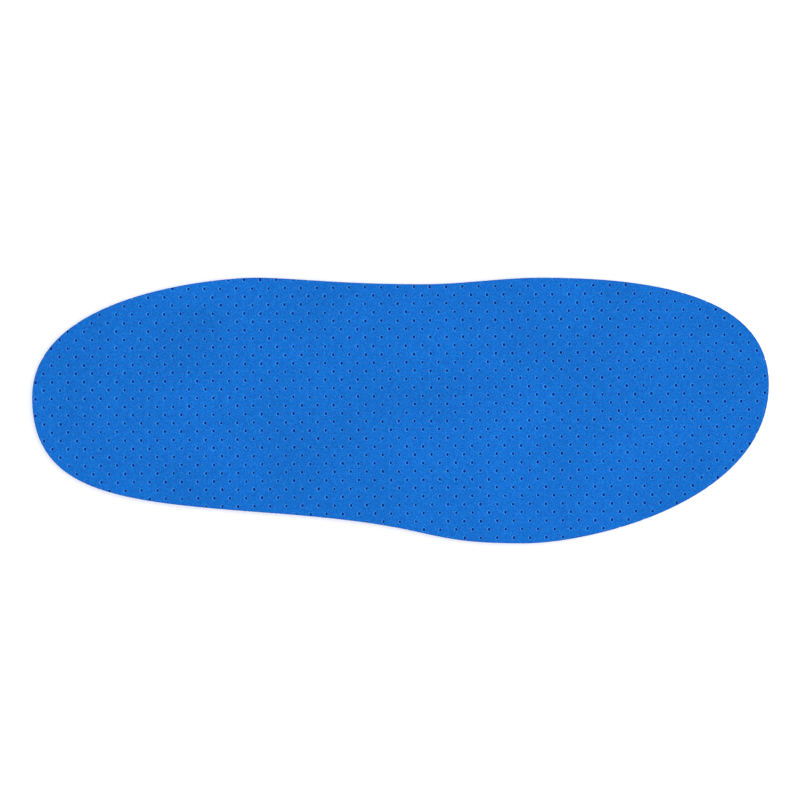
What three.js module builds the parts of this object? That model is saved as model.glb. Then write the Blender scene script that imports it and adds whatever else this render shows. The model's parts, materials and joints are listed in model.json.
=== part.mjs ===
// Cushioned insole for the right foot, lying flat with its cloth side up.
//
// Millimetres. +X points to the toes, +Y to the big-toe side and +Z up. The origin is on the floor in the
// middle of the insole's box. Three sheets are die-cut to one outline and bonded on each other: a lower
// foam, an upper foam and a face cloth. They bend at the ball of the foot, so each sheet is two solids that
// meet there, a rear and a forefoot.

import * as THREE from 'three';

// Driving dimensions

const insoleLength = 280;
const insoleWidth = 101;
const lowerFoamThickness = 2.6;
const upperFoamThickness = 2.6;
const faceClothThickness = 0.8;
const ballLineGap = 0.3;
const outlineStep = 3; // about how far apart the outline's points are

// Outline
//
// It runs from the heel along the big-toe side to the toes, and back along the outer side. heading is the
// way that the edge runs at a point, in degrees from +X. before and after are the lengths of the curve's
// handles there, so a longer one makes a flatter edge.

const heel = { x: -insoleLength / 2, y: 5, heading: 90, before: 39, after: 39.5 };
const heelInner = { x: -55, y: insoleWidth / 2, heading: 0, before: 14, after: 14 };
const waistInner = { x: 8.5, y: 48, heading: 0, before: 32, after: 15 };
const ballInner = { x: 53, y: insoleWidth / 2, heading: 0, before: 14, after: 41.5 };
const toe = { x: insoleLength / 2, y: 10, heading: -90, before: 34.5, after: 45 };
const ballOuter = { x: 47, y: -insoleWidth / 2, heading: 180, before: 24.5, after: 41 };
const waistOuter = { x: -42.5, y: -39.5, heading: 175.5, before: 60, after: 60 };

const outlineCorners = [heel, heelInner, waistInner, ballInner, toe, ballOuter, waistOuter];

function handle(corner, reach) {
  const angle = THREE.MathUtils.degToRad(corner.heading);
  return new THREE.Vector2(corner.x + reach * Math.cos(angle), corner.y + reach * Math.sin(angle));
}

function edgeBetween(start, end) {
  return new THREE.CubicBezierCurve(
    new THREE.Vector2(start.x, start.y),
    handle(start, start.after),
    handle(end, -end.before),
    new THREE.Vector2(end.x, end.y),
  );
}

function outline() {
  return outlineCorners.flatMap((corner, index) => {
    const edge = edgeBetween(corner, outlineCorners[(index + 1) % outlineCorners.length]);
    const steps = Math.round(edge.getLength() / outlineStep);
    return edge.getSpacedPoints(steps).slice(0, steps);
  });
}

// Ball line
//
// The straight line through the widest points of the two sides, where the toes bend upwards.

const ballLine = new THREE.Vector2(ballInner.x - ballOuter.x, ballInner.y - ballOuter.y).normalize();

// How far a point is ahead of the ball line, towards the toes.
function aheadOfBallLine(point) {
  return (point.x - ballOuter.x) * ballLine.y - (point.y - ballOuter.y) * ballLine.x;
}

// The outline's part on one side of the ball line, half a gap clear of it. side is 1 for the toes and -1
// for the heel.
function cutAtBallLine(points, side) {
  const clear = (point) => side * aheadOfBallLine(point) - ballLineGap / 2;
  return points.flatMap((point, index) => {
    const next = points[(index + 1) % points.length];
    const kept = clear(point) > 0 ? [point] : [];
    if (clear(point) * clear(next) < 0) {
      kept.push(point.clone().lerp(next, clear(point) / (clear(point) - clear(next))));
    }
    return kept;
  });
}

// Sheets

function sheetHalf(name, side, bottom, thickness, material) {
  const shape = new THREE.Shape(cutAtBallLine(outline(), side));
  const geometry = new THREE.ExtrudeGeometry(shape, { depth: thickness, bevelEnabled: false });
  geometry.translate(0, 0, bottom);
  const mesh = new THREE.Mesh(geometry, material);
  mesh.name = name;
  return mesh;
}

function sheet(name, bottom, thickness, material) {
  const group = new THREE.Group();
  group.add(sheetHalf(`${name}_rear`, -1, bottom, thickness, material.clone()));
  group.add(sheetHalf(`${name}_forefoot`, 1, bottom, thickness, material.clone()));
  return group;
}

function lowerFoam() {
  const material = new THREE.MeshStandardMaterial({ color: '#144b9e', roughness: 0.9, metalness: 0 });
  return sheet('lower_foam', 0, lowerFoamThickness, material);
}

function upperFoam() {
  const material = new THREE.MeshStandardMaterial({ color: '#1161c6', roughness: 0.9, metalness: 0 });
  return sheet('upper_foam', lowerFoamThickness, upperFoamThickness, material);
}

function faceCloth() {
  const material = new THREE.MeshStandardMaterial({ color: '#186fcf', roughness: 0.95, metalness: 0 });
  return sheet('face_cloth', lowerFoamThickness + upperFoamThickness, faceClothThickness, material);
}

const insole = new THREE.Group();
insole.add(lowerFoam(), upperFoam(), faceCloth());

export default insole;
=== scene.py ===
import json
import math

import bmesh
import bpy
from mathutils import Matrix, Vector, noise
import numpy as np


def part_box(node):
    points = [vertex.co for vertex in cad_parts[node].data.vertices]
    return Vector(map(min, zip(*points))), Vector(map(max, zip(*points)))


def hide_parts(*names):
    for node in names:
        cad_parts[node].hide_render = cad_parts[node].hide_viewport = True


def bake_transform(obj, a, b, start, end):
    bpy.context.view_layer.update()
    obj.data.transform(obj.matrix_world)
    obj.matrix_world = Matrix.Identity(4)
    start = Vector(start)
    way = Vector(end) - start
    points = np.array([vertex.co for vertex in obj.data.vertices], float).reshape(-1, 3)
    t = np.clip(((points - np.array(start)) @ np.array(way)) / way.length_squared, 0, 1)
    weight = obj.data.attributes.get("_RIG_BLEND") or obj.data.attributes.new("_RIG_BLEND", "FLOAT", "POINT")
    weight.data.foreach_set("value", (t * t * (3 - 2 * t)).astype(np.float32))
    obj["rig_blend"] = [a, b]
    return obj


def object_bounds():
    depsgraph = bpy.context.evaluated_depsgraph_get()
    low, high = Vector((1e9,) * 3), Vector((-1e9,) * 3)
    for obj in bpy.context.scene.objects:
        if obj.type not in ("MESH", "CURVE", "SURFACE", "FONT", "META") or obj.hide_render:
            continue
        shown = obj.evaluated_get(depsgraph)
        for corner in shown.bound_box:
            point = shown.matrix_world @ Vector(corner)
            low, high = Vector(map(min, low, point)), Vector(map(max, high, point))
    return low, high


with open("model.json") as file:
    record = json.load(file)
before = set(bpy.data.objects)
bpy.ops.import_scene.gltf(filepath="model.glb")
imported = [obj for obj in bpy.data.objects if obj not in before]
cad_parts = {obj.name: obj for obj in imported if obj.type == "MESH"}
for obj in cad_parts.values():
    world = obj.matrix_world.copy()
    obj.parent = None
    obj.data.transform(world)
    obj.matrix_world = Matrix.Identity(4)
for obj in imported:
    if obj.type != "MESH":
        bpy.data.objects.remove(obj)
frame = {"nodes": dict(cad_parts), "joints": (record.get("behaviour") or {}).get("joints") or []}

# A flat cushioned insole for a right foot: a brushed knit face on two foams, punched through with rows
# of small holes. +X points to the toes, +Y to the big-toe side, and it lies on z = 0.

mm = 0.001
cadLow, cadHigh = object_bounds()


# Places that come from the frame

layerNodes = {
    "lowerFoam": ("lower_foam_rear", "lower_foam_forefoot"),
    "upperFoam": ("upper_foam_rear", "upper_foam_forefoot"),
    "faceCloth": ("face_cloth_rear", "face_cloth_forefoot"),
}


def heightsOf(layer):
    low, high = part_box(layerNodes[layer][0])
    return low.z, high.z


def outlineOf(layer):
    # the corners of the solids' top faces all lie on the die's outline, so going round the middle puts
    # them in order
    corners = set()
    for node in layerNodes[layer]:
        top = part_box(node)[1].z
        for vertex in frame["nodes"][node].data.vertices:
            if abs(vertex.co.z - top) < 0.01 * mm:
                corners.add((round(vertex.co.x, 6), round(vertex.co.y, 6)))
    return sorted(corners, key=lambda corner: math.atan2(corner[1], corner[0]))


outline = outlineOf("faceCloth")
print("outline has", len(outline), "corners")


# Camera, light and floor

view = {
    "lens": 100,
    "sensor": 36,
    "distance": 0.844,  # from the face cloth
    "aim": (-0.0002, 0.0040),
}


def makeCamera():
    data = bpy.data.cameras.new("camera")
    data.lens = view["lens"]
    data.sensor_width = view["sensor"]
    data.clip_start = 0.01
    data.clip_end = 20
    camera = bpy.data.objects.new("camera", data)
    camera.location = (*view["aim"], cadHigh.z + view["distance"])
    bpy.context.scene.collection.objects.link(camera)
    bpy.context.scene.camera = camera


light = {
    "worldStrength": 0.83,
    "panelPower": 19,
    "panelSize": 1.6,
    "panelPlace": (0.45, 0.1, 1.5),
    "floorSize": 6.0,
    "floorDrop": 0.15 * mm,
}


def makeLight():
    world = bpy.data.worlds.new("studio")
    world.use_nodes = True
    world.node_tree.nodes["Background"].inputs["Color"].default_value = (1, 1, 1, 1)
    world.node_tree.nodes["Background"].inputs["Strength"].default_value = light["worldStrength"]
    bpy.context.scene.world = world
    data = bpy.data.lights.new("panel", "AREA")
    data.shape = "SQUARE"
    data.size = light["panelSize"]
    data.energy = light["panelPower"]
    panel = bpy.data.objects.new("panel", data)
    panel.location = light["panelPlace"]
    panel.rotation_euler = (-panel.location).to_track_quat("-Z", "Y").to_euler()
    bpy.context.scene.collection.objects.link(panel)
    bpy.context.scene.view_settings.view_transform = "Standard"


# Materials

def linear(hexColour):
    # an sRGB hex colour as the linear one that a shader takes
    parts = [int(hexColour[i:i + 2], 16) / 255 for i in (1, 3, 5)]
    return (*[p / 12.92 if p <= 0.04045 else ((p + 0.055) / 1.055) ** 2.4 for p in parts], 1)


def newMaterial(name):
    material = bpy.data.materials.new(name)
    material.use_nodes = True
    nodes = material.node_tree.nodes
    nodes.clear()
    return material


def addNode(material, kind, settings=None, values=None, links=None):
    # links give, for each input, the node and the name of its output
    node = material.node_tree.nodes.new(kind)
    for key, value in (settings or {}).items():
        setattr(node, key, value)
    for key, value in (values or {}).items():
        node.inputs[key].default_value = value
    for key, (source, output) in (links or {}).items():
        material.node_tree.links.new(source.outputs[output], node.inputs[key])
    return node


def setRamp(node, stops):
    ramp = node.color_ramp
    while len(ramp.elements) < len(stops):
        ramp.elements.new(0.5)
    for element, (position, colour) in zip(ramp.elements, stops):
        element.position = position
        element.color = linear(colour)


floorFinish = {
    "colour": "#fbfbfb",
    "roughness": 0.6,
    "glow": 0.08,  # painted light: the floor itself glows round the insole, like paper on a lit table, which keeps the shadow at the edge faint
    "glowReach": (0.3, 1.5),  # how far out the glow is full, and where it has faded away
}


def makeFloor():
    bm = bmesh.new()
    bmesh.ops.create_grid(bm, x_segments=1, y_segments=1, size=light["floorSize"] / 2)
    bmesh.ops.translate(bm, verts=bm.verts[:], vec=(0, 0, cadLow.z - light["floorDrop"]))
    material = newMaterial("paperFloor")
    place = addNode(material, "ShaderNodeTexCoord")
    away = addNode(material, "ShaderNodeVectorMath", {"operation": "LENGTH"},
                   links={0: (place, "Object")})
    near, far = floorFinish["glowReach"]
    glow = addNode(material, "ShaderNodeMapRange", {"interpolation_type": "SMOOTHSTEP"},
                   {1: near, 2: far, 3: floorFinish["glow"], 4: 0}, {0: (away, "Value")})
    shader = addNode(material, "ShaderNodeBsdfPrincipled", values={
        "Base Color": linear(floorFinish["colour"]), "Roughness": floorFinish["roughness"],
        "Emission Color": linear(floorFinish["colour"])}, links={"Emission Strength": (glow, 0)})
    addNode(material, "ShaderNodeOutputMaterial", links={"Surface": (shader, "BSDF")})
    floor = finishPiece(bm, "floor", material)


def finishPiece(bm, name, material):
    mesh = bpy.data.meshes.new(name)
    bm.to_mesh(mesh)
    bm.free()
    piece = bpy.data.objects.new(name, mesh)
    piece.data.materials.append(material)
    bpy.context.scene.collection.objects.link(piece)
    return piece


# Polyester tricot, knitted, piece-dyed and brushed: a matt, deep-dyed blue under a short bright nap
clothFinish = {
    "dark": "#003f90",
    "base": "#045db2",
    "light": "#217ed8",
    "violet": "#2650bc",
    "cyan": "#006db8",
    "dyeShare": 0.35,  # how far the strands' own dye shows through the nap
    "ring": "#449af0",  # a painted highlight round each hole, where the knit dips into it and its slope catches the light
    "ringReach": (0.03, 0.18),  # the shares of the way out between which it fades
    "ringShare": (1.0, 0.45),  # how strong the painted highlight is on the heel side of a hole, whose slope faces the panel light, and on the toe side
    "ringSide": 0.7 * mm,  # how far to either side of the hole the one gives way to the other
    "ringDepth": (0.25 * mm, 0.18 * mm),  # it fades between these depths as the knit turns into a hole
    "cutEdgeShade": "#0030a2",  # mostly painted shade, deeper with depth, where the cut edge rolls away from the light and the holes go down, over the cut knit's own deeper blue
    "cutEdgeShare": 0.7,
    "cutEdgeDepth": (0.4 * mm, 0.05 * mm),  # it is full at the first depth and gone at the second
    "cutFrom": 0.3,  # the share of the way out that is past the ring
    "tuft": 0.34 * mm,  # a tuft of nap, drawn a little coarser than it is so that it shows
    "strand": 0.6 * mm,  # strands of slightly different dye
    "cloud": 30 * mm,  # slow changes in the dye and in how the nap lies
    "cloudShade": (0.95, 1.05),
    "roughness": 0.9,
    "sheen": 0.03,
    "sheenRoughness": 0.5,
    "sheenTint": "#5aa2f0",
    "bumpDepth": 0.1 * mm,
}


def brushedTricot():
    f = clothFinish
    m = newMaterial("brushedTricot")
    place = addNode(m, "ShaderNodeAttribute", {"attribute_name": "rest"})
    tuft = addNode(m, "ShaderNodeTexNoise", values={
        "Scale": 1 / f["tuft"], "Detail": 3, "Roughness": 0.65, "Distortion": 0.6},
        links={"Vector": (place, "Vector")})
    shade = addNode(m, "ShaderNodeValToRGB", links={"Fac": (tuft, "Fac")})
    setRamp(shade, [(0.36, f["dark"]), (0.5, f["base"]), (0.64, f["light"])])
    strand = addNode(m, "ShaderNodeTexNoise", values={
        "Scale": 1 / f["strand"], "Detail": 2, "Roughness": 0.6},
        links={"Vector": (place, "Vector")})
    dye = addNode(m, "ShaderNodeValToRGB", links={"Fac": (strand, "Fac")})
    setRamp(dye, [(0.35, f["violet"]), (0.5, f["base"]), (0.65, f["cyan"])])
    # the inputs of a colour mix are 0 for its share and 6 and 7 for its two colours, and its output is 2
    mixed = addNode(m, "ShaderNodeMix", {"data_type": "RGBA"}, {0: f["dyeShare"]},
                    {6: (shade, "Color"), 7: (dye, "Color")})

    top = heightsOf("faceCloth")[1]
    heights = addNode(m, "ShaderNodeSeparateXYZ", links={0: (place, "Vector")})
    above = addNode(m, "ShaderNodeMapRange", None,
                    {1: top - f["ringDepth"][0], 2: top - f["ringDepth"][1], 3: 0, 4: 1},
                    {0: (heights, 2)})
    # painted highlight round each hole, stronger on its heel side, which faces the light, and gone where the
    # knit turns down into the hole
    outwards = addNode(m, "ShaderNodeAttribute", {"attribute_name": "share"})
    ring = addNode(m, "ShaderNodeMapRange", {"interpolation_type": "SMOOTHSTEP"},
                   {1: f["ringReach"][0], 2: f["ringReach"][1], 3: 1, 4: 0}, {0: (outwards, "Fac")})
    fromHole = addNode(m, "ShaderNodeAttribute", {"attribute_name": "fromHole"})
    sides = addNode(m, "ShaderNodeSeparateXYZ", links={0: (fromHole, "Vector")})
    highlightSide = addNode(m, "ShaderNodeMapRange", {"interpolation_type": "SMOOTHSTEP"},
                  {1: -f["ringSide"], 2: f["ringSide"], 3: f["ringShare"][0], 4: f["ringShare"][1]},
                  {0: (sides, 0)})
    ringHere = addNode(m, "ShaderNodeMath", {"operation": "MULTIPLY"},
                       links={0: (ring, 0), 1: (highlightSide, 0)})
    ringTop = addNode(m, "ShaderNodeMath", {"operation": "MULTIPLY"},
                      links={0: (ringHere, 0), 1: (above, 0)})
    highlighted = addNode(m, "ShaderNodeMix", {"data_type": "RGBA"}, {7: linear(f["ring"])},
                     {0: (ringTop, 0), 6: (mixed, 2)})

    # painted shade, darker with depth, on the cut edge that runs round the outline and down the wall of each
    # hole
    rimShade = addNode(m, "ShaderNodeMapRange", None,
                  {1: top - f["cutEdgeDepth"][0], 2: top - f["cutEdgeDepth"][1],
                   3: f["cutEdgeShare"], 4: 0},
                  {0: (heights, 2)})
    inHole = addNode(m, "ShaderNodeMath", {"operation": "SUBTRACT"}, {0: 1}, {1: (above, 0)})
    atEdge = addNode(m, "ShaderNodeMath", {"operation": "GREATER_THAN"}, {1: f["cutFrom"]},
                     {0: (outwards, "Fac")})
    cut = addNode(m, "ShaderNodeMath", {"operation": "MAXIMUM"}, links={0: (inHole, 0), 1: (atEdge, 0)})
    rimShadeHere = addNode(m, "ShaderNodeMath", {"operation": "MULTIPLY"}, links={0: (rimShade, 0), 1: (cut, 0)})
    shadedEdge = addNode(m, "ShaderNodeMix", {"data_type": "RGBA"}, {7: linear(f["cutEdgeShade"])},
                    {0: (rimShadeHere, 0), 6: (highlighted, 2)})

    cloud = addNode(m, "ShaderNodeTexNoise", values={"Scale": 1 / f["cloud"], "Detail": 2},
                    links={"Vector": (place, "Vector")})
    worn = addNode(m, "ShaderNodeMapRange", None,
                   {1: 0.3, 2: 0.7, 3: f["cloudShade"][0], 4: f["cloudShade"][1]}, {0: (cloud, "Fac")})
    colour = addNode(m, "ShaderNodeVectorMath", {"operation": "SCALE"},
                     links={0: (shadedEdge, 2), "Scale": (worn, 0)})
    bump = addNode(m, "ShaderNodeBump", values={"Strength": 1, "Distance": f["bumpDepth"]},
                   links={"Height": (tuft, "Fac")})
    shader = addNode(m, "ShaderNodeBsdfPrincipled", values={
        "Roughness": f["roughness"], "IOR": 1.5, "Specular IOR Level": 0.1,
        "Sheen Weight": f["sheen"], "Sheen Roughness": f["sheenRoughness"],
        "Sheen Tint": linear(f["sheenTint"])},
        links={"Base Color": (colour, 0), "Normal": (bump, 0)})
    addNode(m, "ShaderNodeOutputMaterial", links={"Surface": (shader, 0)})
    return m


# Flexible polyurethane foam, cast in a block, dyed through and sliced: matt, with a fine open grain of
# cut cells, drawn a little coarser than they are so that they show
upperFoamFinish = {
    "name": "softPolyurethaneFoam",
    "skin": "#1161c6",
    "pit": "#0636a4",
    "cell": 0.5 * mm,
    "bumpDepth": 0.2 * mm,
    "roughness": 0.85,
}
# The same foam, denser and darker, with smaller cells
lowerFoamFinish = {
    "name": "firmPolyurethaneFoam",
    "skin": "#144b9e",
    "pit": "#0a2f70",
    "cell": 0.36 * mm,
    "bumpDepth": 0.12 * mm,
    "roughness": 0.78,
}


def cutFoam(f):
    m = newMaterial(f["name"])
    place = addNode(m, "ShaderNodeAttribute", {"attribute_name": "rest"})
    cells = addNode(m, "ShaderNodeTexVoronoi", {"feature": "F1"},
                    {"Scale": 1 / f["cell"], "Randomness": 1}, {"Vector": (place, "Vector")})
    bigCells = addNode(m, "ShaderNodeTexVoronoi", {"feature": "F1"},
                       {"Scale": 0.4 / f["cell"], "Randomness": 1}, {"Vector": (place, "Vector")})
    grain = addNode(m, "ShaderNodeMath", {"operation": "MINIMUM"},
                    links={0: (cells, "Distance"), 1: (bigCells, "Distance")})
    shade = addNode(m, "ShaderNodeValToRGB", links={"Fac": (grain, 0)})
    setRamp(shade, [(0.08, f["pit"]), (0.38, f["skin"])])
    bump = addNode(m, "ShaderNodeBump", values={"Strength": 1, "Distance": f["bumpDepth"]},
                   links={"Height": (grain, 0)})
    shader = addNode(m, "ShaderNodeBsdfPrincipled", values={
        "Roughness": f["roughness"], "IOR": 1.5, "Specular IOR Level": 0.12},
        links={"Base Color": (shade, "Color"), "Normal": (bump, 0)})
    addNode(m, "ShaderNodeOutputMaterial", links={"Surface": (shader, 0)})
    return m


# The punched holes. A tile is one diamond of a sheet round its hole, and the pattern is tiles side by
# side.

punching = {
    "columnPitch": 6.16 * mm,  # from hole to hole along a row
    "rowPitch": 6.37 * mm,  # between rows that line up, with a staggered row half way
    "columns": (3, 2, 2, 2, 2),  # factors of how many there are, enough to reach past the insole
    "rows": (3, 3, 2),
    "wander": 0.4 * mm,  # how far the rows stray along the foot, as the cloth drew under the punch
    "wanderLength": 250 * mm,
    "turn": 0.52,  # degrees that the pattern lies askew to the insole
    "start": (-0.42 * mm, 2.32 * mm),  # one of the holes
    "across": 0.9 * mm,  # a hole's width along the foot
    "along": 1.2 * mm,  # and across the foot, where the knit springs back less
    "stray": 0.12 * mm,  # how far a hole lies from its place in the pattern
    "tilt": 18,  # degrees that a hole leans to either side
    "vary": 0.12,  # share by which the holes differ in size
    "sides": 12,
    "weld": 0.01 * mm,  # corners of two tiles that are nearer than this are one
}


def tileEdge(direction):
    # the point of the diamond's edge in this direction from the hole
    spread = abs(direction.x) + abs(direction.y)
    diamond = Vector((direction.x * punching["columnPitch"], direction.y * punching["rowPitch"])) / 2
    return diamond / spread


def holeEdge(direction):
    return Vector((direction.x * punching["across"], direction.y * punching["along"])) / 2


def punchedTile(bm, rings):
    # each ring has its share of the way from the hole's edge to the tile's, and its height. A share
    # below nothing narrows the hole by that much.
    share = bm.verts.layers.float.new("share")
    fromHole = bm.verts.layers.float_vector.new("fromHole")
    loop = bmesh.ops.create_circle(bm, radius=1, segments=punching["sides"])["verts"]
    edges = bm.edges[:]
    for step, (reach, height) in enumerate(rings):
        if step:
            geom = bmesh.ops.extrude_edge_only(bm, edges=edges)["geom"]
            loop = [g for g in geom if isinstance(g, bmesh.types.BMVert)]
            edges = [g for g in geom if isinstance(g, bmesh.types.BMEdge)
                     and g.verts[0] in loop and g.verts[1] in loop]
        for vertex in loop:
            # the way out from the hole is kept in fromHole until the ring after this is made
            direction = Vector(vertex[fromHole]).xy if step else vertex.co.xy
            vertex[fromHole] = (*direction, 0)
            vertex[share] = reach
            if reach < 0:
                flat = holeEdge(direction) * (1 + reach)
            else:
                flat = holeEdge(direction).lerp(tileEdge(direction), reach)
            vertex.co = (*flat, height)
    for vertex in bm.verts:
        vertex[fromHole] = (*vertex.co.xy, 0)


def repeat(bm, pitch, factors):
    # each factor multiplies what there is
    for factor in factors:
        pattern = bm.verts[:] + bm.edges[:] + bm.faces[:]
        for place in range(1, factor):
            copy = bmesh.ops.duplicate(bm, geom=pattern)["geom"]
            bmesh.ops.translate(bm, verts=[g for g in copy if isinstance(g, bmesh.types.BMVert)],
                                vec=pitch * place)
        pitch = pitch * factor


def strayHoles(bm):
    # no two holes are quite alike, but the layers are punched together, so theirs stray alike
    share = bm.verts.layers.float["share"]
    fromHole = bm.verts.layers.float_vector["fromHole"]
    for vertex in bm.verts:
        pull = min(1 - vertex[share], 1)
        if pull < 0.01:
            continue
        hole = vertex.co - vertex[fromHole]
        key = Vector((round(hole.x / punching["columnPitch"] * 2) + 0.5,
                      round(hole.y / punching["rowPitch"] * 2) + 0.5, 0.5))
        shift = noise.cell_vector(key)
        shape = noise.cell_vector(key + Vector((0, 0, 7)))
        turn = Matrix.Rotation(math.radians(punching["tilt"]) * (2 * shape.x - 1) * pull, 2)
        size = 1 + punching["vary"] * (2 * shape.y - 1) * pull
        moved = turn @ vertex[fromHole].xy * size
        moved += (shift.xy - Vector((0.5, 0.5))) * 2 * punching["stray"] * pull
        vertex.co = (*(hole.xy + moved), vertex.co.z)


def punchedSlab(rings):
    # a punched sheet that reaches past the insole on all sides, closed round its outside
    bm = bmesh.new()
    punchedTile(bm, rings)
    column = Vector((punching["columnPitch"], 0, 0))
    row = Vector((0, punching["rowPitch"], 0))
    pattern = bm.verts[:] + bm.edges[:] + bm.faces[:]
    copy = bmesh.ops.duplicate(bm, geom=pattern)["geom"]
    bmesh.ops.translate(bm, verts=[g for g in copy if isinstance(g, bmesh.types.BMVert)],
                        vec=(column + row) / 2)
    repeat(bm, column, punching["columns"])
    repeat(bm, row, punching["rows"])
    back = -column * (math.prod(punching["columns"]) // 2)
    down = row * (math.prod(punching["rows"]) // 2)
    bmesh.ops.translate(bm, verts=bm.verts[:], vec=back - down)
    strayHoles(bm)
    bmesh.ops.remove_doubles(bm, verts=bm.verts[:], dist=punching["weld"])
    bmesh.ops.bridge_loops(bm, edges=[e for e in bm.edges if e.is_boundary])
    bmesh.ops.recalc_face_normals(bm, faces=bm.faces[:])
    bmesh.ops.rotate(bm, verts=bm.verts[:], cent=(0, 0, 0),
                     matrix=Matrix.Rotation(math.radians(punching["turn"]), 3, "Z"))
    bmesh.ops.translate(bm, verts=bm.verts[:], vec=(*punching["start"], 0))
    for vertex in bm.verts:
        turns = vertex.co.x / punching["wanderLength"]
        vertex.co.x -= punching["wander"] * math.cos(2 * math.pi * turns)
    return bm


# Layers. A die gives each layer its outline, and rounds its edges a little as it presses through.

def dieShape(low, high, underside, upside):
    # the steps up and down from the straight wall each have an inset and a rise
    bm = bmesh.new()
    face = bm.faces.new([bm.verts.new((x, y, low)) for x, y in outline])
    geom = bmesh.ops.extrude_face_region(bm, geom=[face], use_keep_orig=True)["geom"]
    bmesh.ops.translate(bm, verts=[g for g in geom if isinstance(g, bmesh.types.BMVert)],
                        vec=(0, 0, high - low))
    bmesh.ops.recalc_face_normals(bm, faces=bm.faces[:])
    for steps, upwards in ((underside, -1), (upside, 1)):
        for inset, rise in steps:
            caps = [f for f in bm.faces if len(f.verts) > 4 and f.normal.z * upwards > 0.9]
            bmesh.ops.inset_region(bm, faces=caps, thickness=inset, depth=rise,
                                   use_even_offset=True)
    cut = bm.faces.layers.float.new("cut")
    for face in bm.faces:
        face[cut] = 1
    return bm


bakeMap = {
    "margin": 4 * mm,
    "edgeSpread": 1.5 * mm,  # how far the cut edge is laid out beyond the outline
    "holeSpread": 0.6,  # share by which a hole's wall is drawn in towards the hole's middle
    "wallShare": 0.05,  # corners at less than this share of the way out are on a hole's wall
    "edgeLean": 0.3,  # others that face outwards by more than this are on the cut edge
    "underside": -0.6,  # faces that point down by more than this are the underside
}


def layOut(bm, low, high):
    # the map for baking: the upper side as seen from above, with the walls of the holes laid inside the
    # holes and the cut edge laid outside the outline, and the underside next to it
    bm.normal_update()
    uv = bm.loops.layers.uv.new("OFBake")
    share = bm.verts.layers.float["share"]
    fromHole = bm.verts.layers.float_vector["fromHole"]
    margin = bakeMap["margin"]
    side = cadHigh.x - cadLow.x + 2 * margin
    nextStrip = cadHigh.y - cadLow.y + 2 * margin
    places = {}
    for vertex in bm.verts:
        depth = (high - vertex.co.z) / (high - low)
        place = vertex.co.xy
        if vertex[share] < bakeMap["wallShare"]:
            place -= vertex[fromHole].xy * bakeMap["holeSpread"] * depth
        elif vertex.normal.xy.length > bakeMap["edgeLean"]:
            place += vertex.normal.xy * bakeMap["edgeSpread"] * depth
        places[vertex] = place
    for face in bm.faces:
        under = face.normal.z < bakeMap["underside"]
        for loop in face.loops:
            x, y = loop.vert.co.xy if under else places[loop.vert]
            up = cadHigh.y - y + nextStrip if under else y - cadLow.y
            loop[uv].uv = ((x - cadLow.x + margin) / side, (up + margin) / side)


cutting = {
    "weld": 0.002 * mm,  # the slivers that the cut leaves are narrower than this
    "sharpFrom": 38,  # degrees
}


def cutOut(slab, shape, name, material):
    # what is left of the slab inside the shape
    piece = finishPiece(slab, name, material)
    cutter = finishPiece(shape, name + "Die", material)
    cut = piece.modifiers.new("cut", "BOOLEAN")
    cut.operation = "INTERSECT"
    cut.solver = "MANIFOLD"
    cut.object = cutter
    evaluated = piece.evaluated_get(bpy.context.evaluated_depsgraph_get())
    mesh = bpy.data.meshes.new_from_object(evaluated)
    piece.modifiers.clear()
    bpy.data.objects.remove(cutter)
    piece.data = mesh
    bm = bmesh.new()
    bm.from_mesh(mesh)
    bmesh.ops.remove_doubles(bm, verts=bm.verts[:], dist=cutting["weld"])
    bmesh.ops.dissolve_degenerate(bm, edges=bm.edges[:], dist=cutting["weld"])
    share = bm.verts.layers.float["share"]
    byDie = bm.faces.layers.float["cut"]
    for face in bm.faces:
        if face[byDie]:  # the die's edge isn't drawn in by the holes that it runs through
            for vertex in face.verts:
                vertex[share] = 1
    rest = bm.verts.layers.float_vector.new("rest")
    for vertex in bm.verts:
        vertex[rest] = vertex.co
    layOut(bm, *heightsOf(name))
    bm.to_mesh(mesh)
    print(name, len(bm.verts), "vertices", sum(len(f.verts) - 2 for f in bm.faces), "triangles",
          sum(not e.is_manifold for e in bm.edges), "open edges")
    bm.free()
    mesh.shade_smooth()
    mesh.set_sharp_from_angle(angle=math.radians(cutting["sharpFrom"]))
    return piece


bendReach = (12 * mm, 20 * mm)  # behind the ball and ahead of it


def bendAtBall(piece):
    joint = next(j for j in frame["joints"] if j["name"] == "ball_flex")
    place = Vector(joint["pos_m"])
    axis = Vector(joint["axis"]).normalized()
    ahead = axis.cross(Vector((0, 0, 1)))
    if ahead.x < 0:
        ahead.negate()
    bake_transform(piece, "rear", "forefoot",
             start=place - ahead * bendReach[0], end=place + ahead * bendReach[1])


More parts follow.
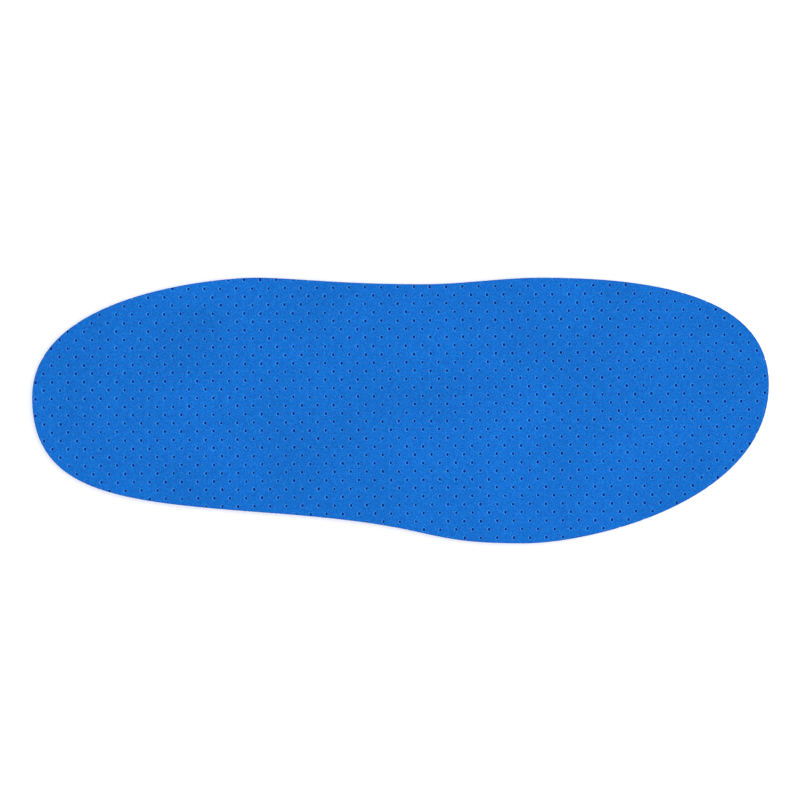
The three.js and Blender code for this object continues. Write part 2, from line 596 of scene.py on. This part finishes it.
faceCloth = {
    "plump": 0.05 * mm,  # how far it swells between the holes
    "dimple": (0.42, 0.02 * mm),  # the share of the way out, and how deep
    "lip": (0.1, 0.08 * mm),
    "edge": 0.25 * mm,  # how far down the knit is drawn into the hole
    "wall": 0.4 * mm,  # the straight part of the cut edge
    "below": 0.3 * mm,  # how far past the underside the die goes
    # from the wall the edge rounds over in steps, each so far in and so far up, and ends above the cloth
    "upside": [(0.06 * mm, 0.14 * mm), (0.14 * mm, 0.12 * mm), (0.25 * mm, 0.08 * mm),
               (0.35 * mm, 0.06 * mm), (0.6 * mm, 0.2 * mm)],
}


def makeFaceCloth():
    low, high = heightsOf("faceCloth")
    f = faceCloth
    rings = [(1, high + f["plump"]), (f["dimple"][0], high - f["dimple"][1]),
             (f["lip"][0], high - f["lip"][1]), (0, high - f["edge"]), (0, low), (1, low)]
    slab = punchedSlab(rings)
    shape = dieShape(low - f["below"], low + f["wall"], [], f["upside"])
    return cutOut(slab, shape, "faceCloth", brushedTricot())


foams = {
    # the foam closes up again behind the punch: how far by, and how far down
    "upperFoam": [(0, 0), (-0.25, 0.45 * mm), (-0.85, 0.9 * mm)],
    "lowerFoam": [(-0.85, 0)],
    # both edges of a foam round over in steps from where the straight wall stops short
    "round": [(0.05 * mm, 0.15 * mm), (0.15 * mm, 0.1 * mm), (0.4 * mm, 0.15 * mm)],
    "wallShort": 0.25 * mm,
}


def makeFoam(name, finish):
    low, high = heightsOf(name)
    narrowing = foams[name]
    rings = [(1, high)]
    rings += [(share, high - depth) for share, depth in narrowing]
    rings += [(narrowing[-1][0], low), (1, low)]
    slab = punchedSlab(rings)
    short = foams["wallShort"]
    shape = dieShape(low + short, high - short, foams["round"], foams["round"])
    return cutOut(slab, shape, name, cutFoam(finish))


makeCamera()
makeLight()
makeFloor()
print("camera, light and floor")
cloth = makeFaceCloth()
print("face cloth")
upper = makeFoam("upperFoam", upperFoamFinish)
lower = makeFoam("lowerFoam", lowerFoamFinish)
print("foams")

for piece, name, slot in ((cloth, "faceCloth", "face_cloth"), (upper, "upperFoam", "upper_foam"),
                          (lower, "lowerFoam", "lower_foam")):
    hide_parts(*layerNodes[name])
    bendAtBall(piece)
